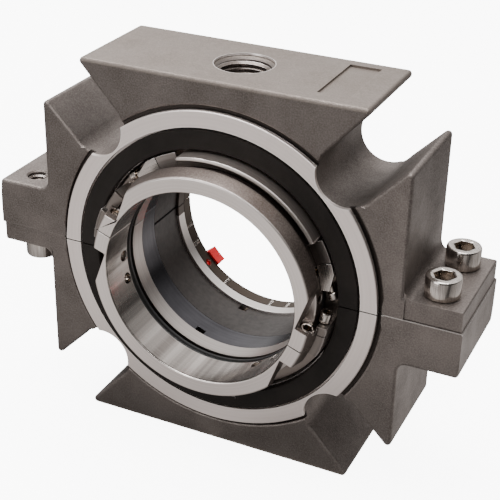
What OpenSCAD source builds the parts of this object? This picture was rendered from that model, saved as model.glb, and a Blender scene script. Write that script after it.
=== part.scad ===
// Split mechanical seal for a pump shaft.
// The shaft lies along Y, the pump side faces -Y and the flush port points up.
// Rings are drawn with the shaft axis along local Z and the pump side up,
// then turned into place, so a height a in a profile is minus Y in the part.

/* [Shaft] */
// Shaft diameter that the clamp collar fits
shaft_d = 76.2; // [73:0.1:79]

/* [Gland casting] */
// Height from the shaft axis to the flat top face
gland_h = 75; // [72:0.5:82]
// Thickness of the casting along the shaft
gland_t = 44.7; // [42:0.1:50]
// Distance from the shaft axis to the outer side faces
horn_x = 72.7; // [70:0.1:76]
// Distance from the shaft axis to the end of the ears
ear_x = 94.8; // [92:0.1:100]
// Height of the threaded ear above the split
ear_thick = 18.6; // [16:0.1:22]
// Height of the ear under the screw heads
ear_thin = 7.8; // [6:0.1:10]
// How far the thin ear stands back from the thick one below it
ear_step = 0.6; // [0.2:0.1:1.2]
// Fillet where the ears meet the side faces
ear_fillet = 3.5; // [1:0.5:5]
// Rounding of the cast tips
tip_r = 1.5; // [1:0.5:3]
// Thickness of the gasket between the two halves
split_gasket_t = 0.5; // [0.3:0.1:1]

/* [Bolt slots] */
// Width of the slots for the stuffing box bolts
slot_w = 22.4; // [20:0.1:25]
// Wall left between a slot and the face gasket seat
slot_wall = 0.8; // [0.5:0.1:3]
// Angle from horizontal of the slot walls on the top and bottom blocks
block_wall_angle = 47.7; // [46:0.1:52]
// Angle from horizontal of the slot walls on the side horns
horn_wall_angle = 45.3; // [43:0.1:47]

/* [Face gasket and machined land] */
// Width of the face gasket ring
gasket_w = 7.6; // [6:0.1:9]
// Thickness of the face gasket
gasket_t = 3.2; // [2:0.1:5]
// How far the face gasket stands in front of the cast face
gasket_proud = 1.6; // [0.5:0.1:2]
// Clearance round the outside of the face gasket
gasket_gap = 0.9; // [0.3:0.1:1.5]
// Width of the machined land round the gasket
land_w = 6.3; // [5:0.1:8]
// Height of the machined land over the cast face
land_h = 1.3; // [0.8:0.1:2]
// Width of the relief cut round the land
relief_w = 1.4; // [0.5:0.1:2]
// Depth of the relief cut
relief_depth = 0.4; // [0.2:0.1:1]

/* [Ports and screws] */
// Radius of the pipe thread in the flush port
port_r = 10; // [8:0.1:11]
// Radius of the countersunk mouth of the port
port_mouth_r = 12; // [11.5:0.1:13]
// Depth of the port thread
port_depth = 16; // [12:0.5:18]
// Radius of the flush channel from the port to the seal chamber
flush_r = 4.5; // [3:0.1:4.8]
// Thread diameter of the gland cap screws
gland_screw_d = 8; // [6:0.5:8]
// Diameter of the gland cap screw heads
gland_screw_head_d = 13; // [11:0.5:14]
// Length of the gland cap screws under the head
gland_screw_len = 25; // [20:1:25]
// Distance of the gland cap screws from the shaft axis
gland_screw_x = 83.7; // [82:0.1:85]
// Distance of the screws from the front and rear cast faces
gland_screw_edge = 10; // [9:0.1:12]

/* [Clamp collar] */
// How far the collar stands in front of the cast face
collar_stand = 14.7; // [12:0.1:16]
// Radial wall of the collar nose at its front face
nose_wall = 5.7; // [5.4:0.1:6.5]
// Growth of the nose radius from front to back
nose_flare = 1.6; // [0:0.1:2]
// Length of the collar nose
nose_len = 7; // [6.5:0.1:8]
// Radial wall of the collar hub behind the nose
hub_wall = 4.7; // [4:0.1:5]
// Length of the collar hub
hub_len = 8.45; // [7:0.05:9]
// Angle of the collar split
collar_split = -19.7; // [-40:0.1:40]
// Half height of the clamp bosses beside the collar split
collar_boss = 7.9; // [7:0.1:10]
// Thread diameter of the collar clamp screws
collar_screw_d = 4; // [3:0.5:4]
// Thread diameter of the cup-point set screws
set_screw_d = 4; // [3:0.5:4.5]

/* [Holder] */
// Axial width of the shaft O-ring groove
shaft_groove_w = 4.55; // [4.2:0.05:5.5]
// Thickness of the holder flange behind the shaft O-ring
holder_flange_t = 7.1; // [5:0.1:9]
// Radial gap between the collar nose and the holder lip
lip_gap = 1.5; // [1:0.1:2]
// Thickness of the holder lip
lip_t = 1.5; // [1:0.1:2]
// Height of the holder lip over the cast face
lip_stand = 7.4; // [6:0.1:7.6]
// Depth of the lock ring seat below the cast face
lock_seat = 3; // [2.5:0.1:3.2]
// Thickness of the lock ring
lock_t = 4.5; // [4.3:0.1:5]
// Angle of the holder split
holder_split = -13.1; // [-14:0.1:-10]
// Wall of the holder round the rotary face
holder_wall = 2.7; // [2.4:0.1:3.5]

/* [Seal faces] */
// Length of the rotary face
rotary_len = 12.6; // [10:0.1:15]
// Length of the stationary face
stationary_len = 18.5; // [15:0.1:22]
// Radial gap between the shaft and the seal faces
face_gap = 1.6; // [1:0.1:2]
// Radial wall of the stationary face
face_wall = 6.2; // [5:0.1:6.4]
// Thickness of the thrust ring
thrust_t = 4.7; // [4:0.1:6]
// Axial travel of the floating face
float_travel = 1; // [0.5:0.1:1]

/* [Springs and clips] */
// Wire coil outside diameter of the springs
spring_d = 3.6; // [3:0.1:3.8]
// Length of the assembled springs
spring_len = 5.4; // [4.5:0.1:5.5]
// Length of the red clips behind the rear hub
clip_len = 5.5; // [3:0.1:8]
// Angle that each clip spans
clip_angle = 10.3; // [6:0.1:14]

/* [Hidden] */
$fn = 96;

// Clearances
metal_gap = 0.12;      // half of the joint line between two split metal rings
fit_gap = 0.15;        // radial fit between pieces that stay together
float_gap = 0.3;       // radial gap round the floating face
oring_gap = 0.15;      // radial gap between the shaft and its O-ring
chamber_gap = 0.8;     // radial gap between the turning holder and the gland
screw_gap = 0.15;      // radial gap of the clearance holes
wall_play = 0.2;       // axial gap between the thrust ring's stop and the rear wall
edge = 0.4;            // broken edge on turned rings
eps = 0.5;             // overrun of cuts
big = 200;             // size of the cutting blocks

// Radii, from the shaft outwards
r_shaft = shaft_d / 2;
r_hub = r_shaft + hub_wall;
r_nose = r_shaft + nose_wall;
r_nose_back = r_nose + nose_flare;
r_lip = r_nose_back + lip_gap;
r_holder = r_lip + lip_t;
r_pocket = r_holder - holder_wall;
r_chamber = r_holder + chamber_gap;
r_gasket = r_chamber + gasket_w;
r_counter = r_gasket + gasket_gap;
r_land = r_counter + land_w;
r_face_in = r_shaft + face_gap;
r_rotary = r_pocket - fit_gap;
r_rotary_nose = r_rotary - 1.5;
r_stationary = r_face_in + face_wall;
r_stator_bore = r_stationary + float_gap;
r_thrust = r_shaft + 0.5;
r_rear = r_shaft + 1.1;
r_lock_in = r_hub + fit_gap;
r_lock_out = r_lip - fit_gap;
r_rear_hub = r_holder + 1.6;

// Heights towards the pump, zero at the cast front face
a_nose_back = collar_stand - nose_len;
a_collar_back = a_nose_back - hub_len;
a_flange_front = a_collar_back - shaft_groove_w;
a_flange_back = a_flange_front - holder_flange_t;
a_face = a_flange_back - rotary_len;
a_holder_back = a_face + 3;
a_chamber_back = a_face - 2;
a_stationary_back = a_face - stationary_len;
a_thrust_back = a_stationary_back - thrust_t;
a_wall = a_thrust_back - float_travel - wall_play;
a_rear = a_wall - 5.3;
a_gasket_seat = gasket_proud - gasket_t;
a_lock_floor = -lock_seat;
a_lock_front = a_lock_floor + lock_t;

// Half width of the seat that both halves have for the split gaskets
split_gasket_x = r_land + relief_w + 0.6;

// Bolt slots
slot_r = slot_w / 2;
slot_centre_r = r_counter + slot_wall + slot_r;
slot_c = slot_centre_r * cos(45);
wall_reach = slot_r - 0.15;  // the walls cut into the round end, so no edge is a bare tangent
block_tangent = [slot_c - wall_reach * sin(block_wall_angle), slot_c + wall_reach * cos(block_wall_angle)];
horn_tangent = [slot_c + wall_reach * sin(horn_wall_angle), slot_c - wall_reach * cos(horn_wall_angle)];
block_tip_x = block_tangent[0] + (gland_h - block_tangent[1]) / tan(block_wall_angle);
horn_tip_z = horn_tangent[1] + (horn_x - horn_tangent[0]) * tan(horn_wall_angle);

// Rings of small parts, as angles in the upper half; the lower half repeats them
spring_angles = [17, 29, 60, 91, 102];
clip_angles = [43.4, 133.4];
thrust_pin_angle = 79;
drive_pin_angle = 69.3;
set_screw_angles = [21.4, 35.6, 138.4, 152.2];

// Springs and clips in the rear wall
spring_r = spring_d / 2;
spring_circle = r_rear + 1.9;
spring_pocket_r = spring_r + 0.3;
clip_circle = r_rear + 2.5;
clip_stem_r = 1.6;
clip_window_a = a_wall - 2;
clip_depth = 5;

// Lock ring joints, one pair of bosses at each
lock_joint_right = 19.5;
lock_joint_top = 119.6;
lock_boss_angle = 10.8;
lock_block_angle = 13.5;
lock_joint_gap = 0.15;
lock_screw_r = 1.3;
lock_head_r = 2;
lock_head_h = 2.6;
lock_screw_circle = r_lock_in + 2.2;
lock_boss_len = r_holder * tan(lock_boss_angle) + 0.1;
lock_block_len = r_holder * tan(lock_block_angle) + 0.1;
r_lock_boss = r_chamber - 0.4;
lock_screw_a = a_lock_floor + lock_t / 2;

// Holder lip and front blocks, as angles round the shaft
lip_from = 32;
lip_to = 105;
block_from = 143.2;
block_to = 153.6;
clamp_top = 4.4;
clamp_bottom = 11;
clamp_r = r_nose_back - 0.8;
holder_screw_r = 1.5;
holder_head_r = 2.25;
holder_head_h = 4;
holder_screw_x = r_holder - 3;
holder_screw_a = lip_stand - holder_head_r - 2.2;

// Clamp screws of the collar
collar_flat = r_shaft + 0.2;
collar_pocket_a = a_nose_back - 2.4;
collar_screw_r = collar_screw_d / 2;
collar_head_r = collar_screw_r + 1;
collar_head_h = 4;
collar_screw_x = collar_flat + collar_head_r + 0.1;
collar_screw_a = a_nose_back + collar_head_r - 1.2;
collar_seat = collar_boss - 4.4;
set_screw_r = set_screw_d / 2;
set_screw_a = a_collar_back + 2.7;

// Corner rounding of outlines given as [x, y, radius]
corner_steps = 6;
function flat(p) = [p[0], p[1]];
function unit(v) = v / norm(v);
function turn(a) = a > 180 ? a - 360 : (a < -180 ? a + 360 : a);
function bearing(v) = atan2(v[1], v[0]);
function arc_points(c, r, from, sweep) =
  [for (k = [0:corner_steps]) c + r * [cos(from + sweep * k / corner_steps), sin(from + sweep * k / corner_steps)]];
function corner(before, at, after) =
  let (u = unit(flat(before) - flat(at)), v = unit(flat(after) - flat(at)), half = acos(u * v) / 2)
  let (c = flat(at) + unit(u + v) * at[2] / sin(half), reach = at[2] / tan(half))
  let (start = bearing(flat(at) + u * reach - c), stop = bearing(flat(at) + v * reach - c))
  arc_points(c, at[2], start, turn(stop - start));
function rounded(pts) =
  let (n = len(pts))
  [for (i = [0:n - 1]) each pts[i][2] > 0 ? corner(pts[(i + n - 1) % n], pts[i], pts[(i + 1) % n]) : [flat(pts[i])]];

// Turns a piece drawn with the shaft along Z so that its top faces the pump
module on_shaft() {
  rotate([90, 0, 0]) children();
}

// Ring with a rectangular section from radius r1 to r2 and height a1 to a2
module ring(r1, r2, a1, a2) {
  translate([0, 0, a1]) difference() {
    cylinder(r = r2, h = a2 - a1);
    translate([0, 0, -eps]) cylinder(r = r1, h = a2 - a1 + 2 * eps);
  }
}

// Sector of that ring between two angles
module sector(r1, r2, a1, a2, from, to) {
  rotate([0, 0, from]) rotate_extrude(angle = to - from) translate([r1, a1]) square([r2 - r1, a2 - a1]);
}

// Keeps what lies above the local X axis by at least the given gap
module upper_half(gap) {
  intersection() {
    children();
    translate([-big / 2, gap, -big / 2]) cube(big);
  }
}

// Cylinder along local Y from y1 to y2
module bar_y(r, x, a, y1, y2) {
  translate([x, y1, a]) rotate([-90, 0, 0]) cylinder(r = r, h = y2 - y1);
}

// Cylinder pointing away from the shaft at an angle
module bar_radial(r, angle, a, r1, r2) {
  rotate([0, 0, angle]) translate([r1, 0, a]) rotate([0, 90, 0]) cylinder(r = r, h = r2 - r1);
}

// Cylinder parallel to the shaft at an angle
module bar_axial(r, angle, circle, a1, a2) {
  rotate([0, 0, angle]) translate([circle, 0, a1]) cylinder(r = r, h = a2 - a1);
}

// Socket-head cap screw along Z, seated at z = 0 with its head above
module cap_screw(r, head_r, head_h, length) {
  difference() {
    union() {
      cylinder(r = head_r, h = head_h - edge);
      translate([0, 0, head_h - edge]) cylinder(r1 = head_r, r2 = head_r - edge, h = edge);
      translate([0, 0, -length]) cylinder(r = r, h = length);
    }
    translate([0, 0, head_h / 2]) cylinder(r = head_r * 0.55, h = head_h, $fn = 6);
  }
}

// Front outline of one gland half, with its thick ear on the left
module gland_outline() {
  polygon(rounded([
    [-ear_x, 0, 0],
    [horn_x + ear_step, 0, 0],
    [horn_x + ear_step, ear_thin, 0],
    [horn_x, ear_thin + ear_step, 0],
    [horn_x, horn_tip_z, tip_r],
    [horn_tangent[0], horn_tangent[1], 0],
    [slot_c, slot_c, 0],
    [block_tangent[0], block_tangent[1], 0],
    [block_tip_x, gland_h, tip_r],
    [-block_tip_x, gland_h, tip_r],
    [-block_tangent[0], block_tangent[1], 0],
    [-slot_c, slot_c, 0],
    [-horn_tangent[0], horn_tangent[1], 0],
    [-horn_x, horn_tip_z, tip_r],
    [-horn_x, ear_thick, ear_fillet],
    [-ear_x, ear_thick, tip_r]
  ]));
}

// Thin ear on the right, with a fillet to the side face
module thin_ear() {
  depth = gland_t - 2 * ear_step;
  reach = ear_x - ear_step;
  translate([0, 0, -gland_t + ear_step]) linear_extrude(depth) polygon(rounded([
    [r_chamber + gasket_w, 0, 0],
    [reach, 0, 0],
    [reach, ear_thin, tip_r / 2],
    [horn_x, ear_thin, ear_fillet],
    [horn_x, ear_thin + 2 * ear_fillet, 0],
    [r_chamber + gasket_w, ear_thin + 2 * ear_fillet, 0]
  ]));
}

// Section of the seal cavity inside the gland, as [radius, height]
cavity = [
  [0, land_h + eps], [r_counter, land_h + eps], [r_counter, a_gasket_seat], [r_chamber, a_gasket_seat],
  [r_chamber, a_chamber_back], [r_stator_bore, a_chamber_back - 1], [r_stator_bore, a_wall],
  [r_rear, a_wall], [r_rear, a_rear - eps], [0, a_rear - eps]
];
groove_depth = 2.9;
groove_w = 3.6;
groove_a = a_face - stationary_len * 0.6;

// Leaves the cast face, the relief round the land and the land itself
module front_cut() {
  rotate_extrude() polygon([
    [r_land, land_h + eps], [r_land, -relief_depth], [r_land + relief_w, -relief_depth], [r_land + relief_w, 0],
    [big, 0], [big, land_h + eps]
  ]);
}

module cavity_cut() {
  rotate_extrude() polygon(cavity);
  ring(r_stator_bore - eps, r_stator_bore + groove_depth, groove_a - groove_w / 2, groove_a + groove_w / 2);
}

// One gland half without its port
module gland_half() {
  screw_heights = [-gland_screw_edge, gland_screw_edge - gland_t];
  screw_r = gland_screw_d / 2;
  difference() {
    upper_half(0) {
      translate([0, 0, -gland_t]) linear_extrude(gland_t + land_h) gland_outline();
      thin_ear();
      translate([0, 0, a_rear]) cylinder(r = r_rear_hub, h = -gland_t - a_rear + eps);
    }
    front_cut();
    cavity_cut();
    translate([-split_gasket_x, -eps, a_rear - eps]) cube([2 * split_gasket_x, split_gasket_t / 2 + eps, big]);
    for (side = [-1, 1]) translate([side * slot_c, slot_c, -gland_t - eps]) cylinder(r = slot_r, h = big);
    for (a = screw_heights) {
      bar_y(screw_r, -gland_screw_x, a, -eps, ear_thick + eps);
      bar_y(screw_r + 2 * screw_gap, gland_screw_x, a, -eps, ear_thin + eps);
    }
    for (angle = spring_angles) bar_axial(spring_pocket_r, angle, spring_circle, a_thrust_back - spring_len, a_wall + eps);
    for (angle = clip_angles) {
      bar_axial(clip_stem_r + 0.1, angle, clip_circle, a_rear - eps, a_rear + clip_depth);
      bar_radial(clip_stem_r, angle, clip_window_a, r_rear - eps, clip_circle);
    }
  }
}

// Countersunk port bore with the flush channel below it
module port_cut() {
  mouth = port_mouth_r - port_r;
  translate([0, 0, -gland_t / 2]) rotate([-90, 0, 0]) rotate_extrude() polygon([
    [0, r_chamber - 2], [flush_r, r_chamber - 2], [flush_r, gland_h - port_depth - port_r + flush_r],
    [port_r, gland_h - port_depth], [port_r, gland_h - mouth], [port_mouth_r + eps, gland_h + eps], [0, gland_h + eps]
  ]);
}

module gland_upper() {
  recess_x = 34.1;
  recess_w = 12;
  recess_front = 7.3;
  recess_len = gland_t - recess_front - 5.4;
  color("#7d7672") on_shaft() difference() {
    gland_half();
    port_cut();
    translate([recess_x, gland_h - relief_depth, -recess_front - recess_len]) cube([recess_w, big, recess_len]);
  }
}

module gland_lower() {
  color("#756e6a") on_shaft() rotate([0, 0, 180]) gland_half();
}

// Flat gasket between the halves, cut from the section of the gland wall
module split_gasket() {
  trim = 0.5;
  color("#1c1a19") on_shaft() translate([0, split_gasket_t / 2, 0]) rotate([90, 0, 0]) linear_extrude(split_gasket_t)
    difference() {
      translate([r_rear + 0.3, -gland_t + ear_step]) square([split_gasket_x - r_rear - 0.3, gland_t - 2 * ear_step]);
      polygon([for (p = cavity) [p[0] + trim, p[1]]]);
      translate([r_stator_bore, groove_a - groove_w / 2 - trim]) square([groove_depth + trim, groove_w + 2 * trim]);
      translate([0, a_wall - trim]) square([spring_circle + spring_pocket_r + trim, -a_rear]);
      translate([0, -gland_t]) square([spring_circle + 3, gland_t + a_wall + trim + 1]);
    }
}

module split_gasket_right() {
  split_gasket();
}

module split_gasket_left() {
  rotate([0, 180, 0]) split_gasket();
}

module face_gasket() {
  color("#191716") on_shaft() upper_half(split_gasket_t / 2) difference() {
    ring(r_chamber + fit_gap, r_gasket, a_gasket_seat, gasket_proud);
    translate([0, 0, gasket_proud - edge]) cylinder(r1 = r_chamber + fit_gap, r2 = r_chamber + fit_gap + 2 * edge, h = 2 * edge);
  }
}

module face_gasket_upper() {
  face_gasket();
}

module face_gasket_lower() {
  rotate([0, 180, 0]) face_gasket();
}

// Two screws in each thin ear: heads up on the right, heads down on the left
module gland_screws() {
  color("#c9c7c4") for (turned = [0, 180], y = [gland_screw_edge, gland_t - gland_screw_edge])
    rotate([0, turned, 0]) translate([gland_screw_x, y, ear_thin])
      cap_screw(gland_screw_d / 2 - 0.05, gland_screw_head_d / 2, gland_screw_d, gland_screw_len);
}

module stationary_oring() {
  cord = (groove_depth - 0.2) / 2;
  color("#141414") on_shaft() translate([0, 0, groove_a]) rotate_extrude()
    translate([r_stator_bore + groove_depth - cord - 0.05, 0]) circle(r = cord, $fn = 32);
}

// Springs shown as sleeves of their coil's outside and inside size
module springs() {
  wire = 0.7;
  a_bottom = a_thrust_back - spring_len;
  color("#d8d3c8") on_shaft() for (turned = [0, 180], angle = spring_angles)
    rotate([0, 0, turned + angle]) translate([spring_circle, 0, a_bottom]) difference() {
      cylinder(r = spring_r, h = spring_len);
      translate([0, 0, -eps]) cylinder(r = spring_r - wire, h = spring_len + 2 * eps);
    }
}

// Red clip: a tab behind the rear hub and a stem into the wall
module centring_clips() {
  color("#e0262c") on_shaft() for (turned = [0, 180], angle = clip_angles) {
    at = turned + angle;
    union() {
      sector(r_shaft + oring_gap, clip_circle + clip_stem_r, a_rear - clip_len, a_rear, at - clip_angle / 2, at + clip_angle / 2);
      bar_axial(clip_stem_r, at, clip_circle, a_rear - edge, a_rear + clip_depth - 0.2);
    }
  }
}

// Half of the stationary face with a notch for its pin
module stationary_face() {
  notch_w = 3.4;
  notch_depth = 3;
  color("#4f4946") on_shaft() upper_half(metal_gap) difference() {
    ring(r_face_in, r_stationary, a_stationary_back, a_face);
    rotate([0, 0, thrust_pin_angle]) translate([r_face_in - eps, -notch_w / 2, a_stationary_back - eps])
      cube([face_wall + 2 * eps, notch_w, notch_depth + eps]);
  }
}

module stationary_face_upper() {
  stationary_face();
}

module stationary_face_lower() {
  rotate([0, 180, 0]) stationary_face();
}

thrust_pin_r = 1.4;
thrust_pin_circle = (r_face_in + r_stationary) / 2;
thrust_pin_depth = 2.4;

module thrust_ring() {
  color("#b9b5b0") on_shaft() upper_half(metal_gap) difference() {
    ring(r_thrust, r_stationary, a_thrust_back, a_stationary_back);
    bar_axial(thrust_pin_r, thrust_pin_angle, thrust_pin_circle, a_stationary_back - thrust_pin_depth, a_stationary_back + eps);
  }
}

module thrust_ring_upper() {
  thrust_ring();
}

module thrust_ring_lower() {
  rotate([0, 180, 0]) thrust_ring();
}

module thrust_pins() {
  color("#d0cdc8") on_shaft() for (turned = [0, 180])
    bar_axial(thrust_pin_r, turned + thrust_pin_angle, thrust_pin_circle, a_stationary_back - thrust_pin_depth, a_stationary_back + 2.4);
}

// Clamp collar half: tapered nose, hub, and flats beside both clamp bosses
module collar_half() {
  color("#b7b2ae") on_shaft() rotate([0, 0, collar_split]) difference() {
    upper_half(metal_gap) rotate_extrude() polygon([
      [r_shaft, a_collar_back], [r_hub, a_collar_back], [r_hub, a_nose_back], [r_nose_back, a_nose_back],
      [r_nose_back, a_nose_back + edge], [r_nose + edge / 2, collar_stand - edge], [r_nose - edge / 2, collar_stand],
      [r_shaft + edge, collar_stand], [r_shaft, collar_stand - edge]
    ]);
    for (side = [0, 1]) mirror([side, 0, 0])
      translate([collar_flat, collar_boss, collar_pocket_a]) cube(big);
    bar_y(collar_head_r + 0.1, collar_screw_x, collar_screw_a, collar_seat, collar_boss + eps);
    bar_y(collar_screw_r + screw_gap, collar_screw_x, collar_screw_a, -eps, collar_boss);
    bar_y(collar_screw_r, -collar_screw_x, collar_screw_a, -eps, collar_boss + eps);
    for (angle = set_screw_angles) bar_radial(set_screw_r, angle, set_screw_a, r_shaft - 2, r_hub + eps);
  }
}

module collar_upper() {
  collar_half();
}

module collar_lower() {
  rotate([0, 180, 0]) collar_half();
}

module collar_screws() {
  color("#cfccc9") for (turned = [0, 180]) rotate([0, turned, 0]) on_shaft() rotate([0, 0, collar_split])
    translate([collar_screw_x, collar_seat, collar_screw_a]) rotate([-90, 0, 0])
      cap_screw(collar_screw_r - 0.05, collar_head_r, collar_head_h, collar_seat + collar_boss - 1);
}

// Cup-point set screws, just short of the shaft
module set_screws() {
  color("#8d8a86") for (turned = [0, 180]) rotate([0, turned, 0]) on_shaft() rotate([0, 0, collar_split])
    for (angle = set_screw_angles) difference() {
      bar_radial(set_screw_r - 0.05, angle, set_screw_a, r_shaft + 0.3, r_hub - 0.2);
      bar_radial(set_screw_r * 0.55, angle, set_screw_a, r_shaft - eps, r_shaft + 0.8);
      rotate([0, 0, angle]) translate([r_hub - 2, 0, set_screw_a]) rotate([0, 90, 0]) cylinder(r = set_screw_r * 0.55, h = big, $fn = 6);
    }
}

// Holder half: a cup for the rotary face, a flange on the shaft and a lip in front
oring_groove_w = 2.2;
oring_groove_r = r_pocket + 1.7;
oring_groove_a = a_flange_back - 5.5;

// Flat band between two radii and two angles
module band(r1, r2, from, to) {
  intersection() {
    difference() {
      circle(r = r2);
      circle(r = r1);
    }
    polygon([[0, 0], big * [cos(from), sin(from)], big * [cos(to), sin(to)]]);
  }
}

// Cuts the front rim of the holder to the lock ring seat, round its lip and blocks
module rim_cut(with_block) {
  r_void = r_hub - 1;
  r_over = r_holder + 1;
  left_end = 180 + holder_split;
  translate([0, 0, a_lock_floor]) linear_extrude(lip_stand - a_lock_floor + eps) difference() {
    circle(r = r_over);
    circle(r = r_void);
    band(r_lip, r_over + 1, lip_from, lip_to);
    if (with_block) band(r_void - 1, r_lip + edge, block_from, block_to);
    band(clamp_r, r_over + 1, holder_split - clamp_top, holder_split + clamp_top);
    band(clamp_r, r_over + 1, left_end - clamp_bottom, left_end + clamp_bottom);
  }
}

module holder_half(with_block) {
  color("#8f8a86") on_shaft() difference() {
    rotate([0, 0, holder_split]) upper_half(metal_gap) rotate_extrude() polygon([
      [r_shaft, a_flange_back], [r_pocket, a_flange_back], [r_pocket, oring_groove_a + oring_groove_w / 2],
      [oring_groove_r, oring_groove_a + oring_groove_w / 2], [oring_groove_r, oring_groove_a - oring_groove_w / 2],
      [r_pocket, oring_groove_a - oring_groove_w / 2], [r_pocket, a_holder_back],
      [r_holder - edge, a_holder_back], [r_holder, a_holder_back + edge], [r_holder, lip_stand - edge],
      [r_holder - edge, lip_stand], [r_lock_in, lip_stand], [r_lock_in, a_flange_front], [r_shaft, a_flange_front]
    ]);
    rim_cut(with_block);
    rotate([0, 0, holder_split]) {
      bar_y(holder_screw_r + screw_gap, holder_screw_x, holder_screw_a, -eps, big / 8);
      bar_y(holder_screw_r, -holder_screw_x, holder_screw_a, -eps, r_holder * sin(clamp_bottom) + eps);
    }
    bar_axial(drive_pin_r, drive_pin_angle, drive_pin_circle, a_flange_back - eps, a_flange_back + drive_pin_depth);
  }
}

module holder_upper() {
  holder_half(true);
}

module holder_lower() {
  rotate([0, 180, 0]) holder_half(false);
}

module holder_screws() {
  seat = r_holder * sin(clamp_top) + 0.3;
  color("#d6d2c6") for (turned = [0, 180]) rotate([0, turned, 0]) on_shaft() rotate([0, 0, holder_split])
    translate([holder_screw_x, seat, holder_screw_a]) rotate([-90, 0, 0])
      cap_screw(holder_screw_r - 0.05, holder_head_r, holder_head_h, seat + r_holder * sin(clamp_bottom) - 1.5);
}

// Segment of the lock ring with a boss at its first end, and at its last end if it has a joint there
module lock_segment(from, to, last_boss) {
  thin_to = last_boss ? to - lock_boss_angle : to + 1;
  color("#a19c98") on_shaft() difference() {
    sector(r_lock_in, r_lock_boss, a_lock_floor, a_lock_front, from + lock_joint_gap, to - lock_joint_gap);
    sector(r_lock_out, r_lock_boss + 1, a_lock_floor - eps, a_lock_front + eps, from + lock_boss_angle, thin_to);
    rotate([0, 0, from]) bar_y(lock_screw_r, lock_screw_circle, lock_screw_a, -eps, lock_boss_len - 1.5);
    if (last_boss) rotate([0, 0, to]) bar_y(lock_screw_r, lock_screw_circle, lock_screw_a, 1.5 - lock_boss_len, eps);
  }
}

module lock_ring_top() {
  lock_segment(lock_joint_right, lock_joint_top, true);
}

module lock_ring_bottom() {
  lock_segment(lock_joint_right + 180, lock_joint_top + 165, false);
}

// Block beside a joint at local angle zero, with its outer corner cut off
module lock_block() {
  mid = lock_block_angle * 0.4;
  difference() {
    sector(r_lock_in, r_lock_boss, a_lock_floor, a_lock_front, lock_joint_gap, lock_block_angle);
    bar_y(lock_screw_r + 0.1, lock_screw_circle, lock_screw_a, -eps, big / 8);
    translate([0, 0, a_lock_floor - eps]) linear_extrude(lock_t + 2 * eps) polygon([
      [(r_lock_boss + 1) * cos(mid), (r_lock_boss + 1) * sin(mid)],
      [r_lock_boss * cos(mid), r_lock_boss * sin(mid)],
      [(r_lock_out - 0.6) * cos(lock_block_angle + 0.3), (r_lock_out - 0.6) * sin(lock_block_angle + 0.3)],
      [(r_lock_boss + 1) * cos(lock_block_angle + 1), (r_lock_boss + 1) * sin(lock_block_angle + 1)]
    ]);
  }
}

// Short blocks that close the lock ring at its joints
module lock_blocks() {
  color("#aaa5a0") on_shaft() {
    rotate([0, 0, lock_joint_top]) lock_block();
    for (at = [lock_joint_right, lock_joint_right + 180]) rotate([0, 0, at]) mirror([0, 1, 0]) lock_block();
  }
}

module lock_screw() {
  translate([lock_screw_circle, lock_block_len, lock_screw_a]) rotate([-90, 0, 0])
    cap_screw(lock_screw_r - 0.05, lock_head_r, lock_head_h, lock_block_len + lock_boss_len - 3.5);
}

module lock_screws() {
  color("#d9d6d0") on_shaft() {
    rotate([0, 0, lock_joint_top]) lock_screw();
    for (at = [lock_joint_right, lock_joint_right + 180]) rotate([0, 0, at]) mirror([0, 1, 0]) lock_screw();
  }
}

module shaft_oring() {
  cord = (shaft_groove_w - 0.1) / 2;
  color("#101010") on_shaft() translate([0, 0, (a_collar_back + a_flange_front) / 2]) rotate_extrude()
    translate([r_shaft + oring_gap + cord, 0]) circle(r = cord, $fn = 32);
}

// Half of the rotary face, with a narrower nose and a notch for the drive pin
module rotary_face() {
  nose_h = 2;
  notch_w = 3.8;
  notch_h = 4.4;
  color("#5b5f66") on_shaft() difference() {
    rotate([0, 0, holder_split]) upper_half(metal_gap) rotate_extrude() polygon([
      [r_face_in, a_flange_back], [r_rotary, a_flange_back], [r_rotary, a_face + nose_h],
      [r_rotary_nose, a_face + nose_h], [r_rotary_nose, a_face], [r_face_in, a_face]
    ]);
    rotate([0, 0, drive_pin_angle]) translate([r_face_in - eps, -notch_w / 2, a_flange_back - notch_h])
      cube([r_holder, notch_w, notch_h + eps]);
  }
}

module rotary_face_upper() {
  rotary_face();
}

module rotary_face_lower() {
  rotate([0, 180, 0]) rotary_face();
}

module rotary_oring() {
  cord = (oring_groove_w - 0.4) / 2;
  color("#131313") on_shaft() translate([0, 0, oring_groove_a]) rotate_extrude()
    translate([oring_groove_r - cord, 0]) circle(r = cord, $fn = 32);
}

drive_pin_r = 1.4;
drive_pin_circle = r_pocket - 2.4;
drive_pin_depth = 4;

module drive_pins() {
  color("#c9c6c1") on_shaft() for (turned = [0, 180])
    bar_axial(drive_pin_r, turned + drive_pin_angle, drive_pin_circle, a_flange_back - 3, a_flange_back + drive_pin_depth);
}

gland_upper();
gland_lower();
split_gasket_left();
split_gasket_right();
face_gasket_upper();
face_gasket_lower();
gland_screws();
stationary_oring();
springs();
centring_clips();
stationary_face_upper();
stationary_face_lower();
thrust_ring_upper();
thrust_ring_lower();
thrust_pins();
collar_upper();
collar_lower();
collar_screws();
set_screws();
holder_upper();
holder_lower();
holder_screws();
lock_ring_top();
lock_ring_bottom();
lock_blocks();
lock_screws();
shaft_oring();
rotary_face_upper();
rotary_face_lower();
rotary_oring();
drive_pins();
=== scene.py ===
# %% [markdown]
# # A split mechanical seal
# A mechanical seal stops liquid from leaking out of a pump along its turning shaft.
# This one is split, so that it goes round a shaft that is already in place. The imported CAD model
# holds every solid in its right place, so this script only dresses it: it rounds the cast edges,
# winds the springs, cuts the threads, and gives each metal its own skin.
# The first cell loads the solids. They stay where they are, and new pieces ride with them.

# %% Load the solids
import bpy
import bmesh
import math
from mathutils import Matrix, Vector


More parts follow.
